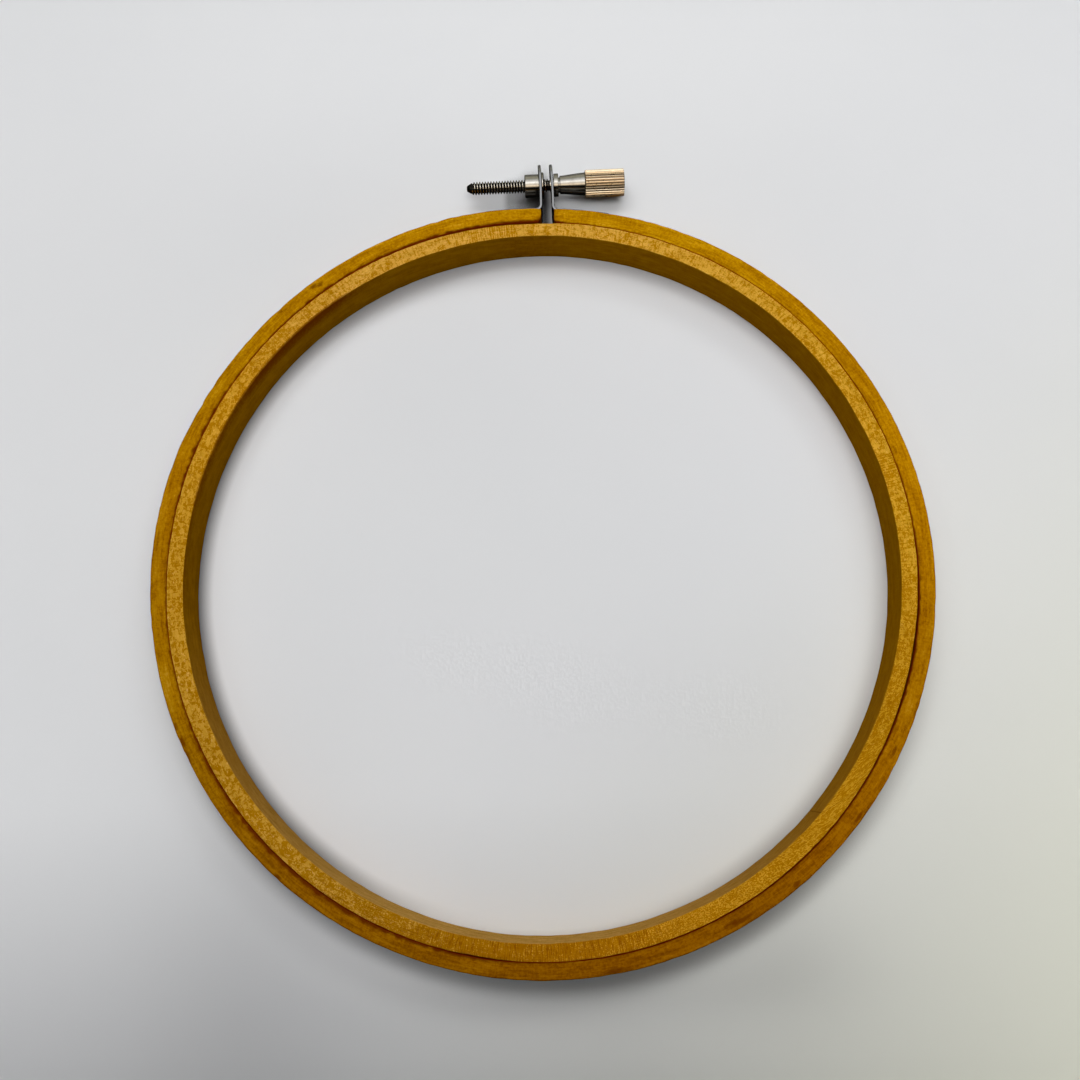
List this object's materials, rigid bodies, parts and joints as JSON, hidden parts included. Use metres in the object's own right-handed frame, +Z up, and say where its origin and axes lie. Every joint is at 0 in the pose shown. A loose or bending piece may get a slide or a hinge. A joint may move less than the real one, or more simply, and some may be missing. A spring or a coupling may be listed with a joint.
{
  "type": "embroidery hoop",
  "caption": "Round wooden embroidery hoop: a closed inner ring inside a split outer ring, drawn together by a knurled thumb screw through two metal lugs.",
  "frame": {"origin": "centre of the rings, in the plane that the hoop lies on", "axes": "+Z up through the rings, +Y towards the thumb screw's side, +X along the thumb screw towards its knurled head; the ring gap lies 3.3 degrees clockwise of +Y"},
  "size_m": [0.1596, 0.1719, 0.0095],
  "materials": {
    "inner_wood": "light amber stain, satin varnish",
    "outer_wood": "amber stain, satin varnish",
    "lug_steel": "nickel plated, satin",
    "nickel": "warm nickel plate, semi-bright",
    "nail_steel": "plain"
  },
  "bodies": {
    "outer_right": {"outer_ring_right": "outer_wood", "right_lug": "lug_steel", "right_lug_nails": "nail_steel"},
    "outer_left": {"outer_ring_left": "outer_wood", "left_lug": "lug_steel", "left_lug_nails": "nail_steel", "barrel_nut": "nickel"},
    "screw": {"thumb_screw": "nickel"},
    "inner": {"inner_ring": "inner_wood"}
  },
  "joints": [
    {"name": "screw_turn", "type": "hinge", "parent": "outer_right", "child": "screw", "pos_m": [0.0045, 0.08746, 0.00475], "axis": [1, 0, 0], "range_deg": [-91, 6121]},
    {"name": "ring_open", "type": "hinge", "parent": "outer_right", "child": "outer_left", "pos_m": [-0.00451, -0.07793, 0.00475], "axis": [0, 0, 1], "range_deg": [-0.06, 3.74]},
    {"name": "inner_lift", "type": "slide", "parent": "outer_right", "child": "inner", "axis": [0, 0, 1], "range_m": [0, 0.025]}
  ],
  "couplings": [
    {"joint": "screw_turn", "follows": "ring_open", "ratio": 1636.5}
  ]
}
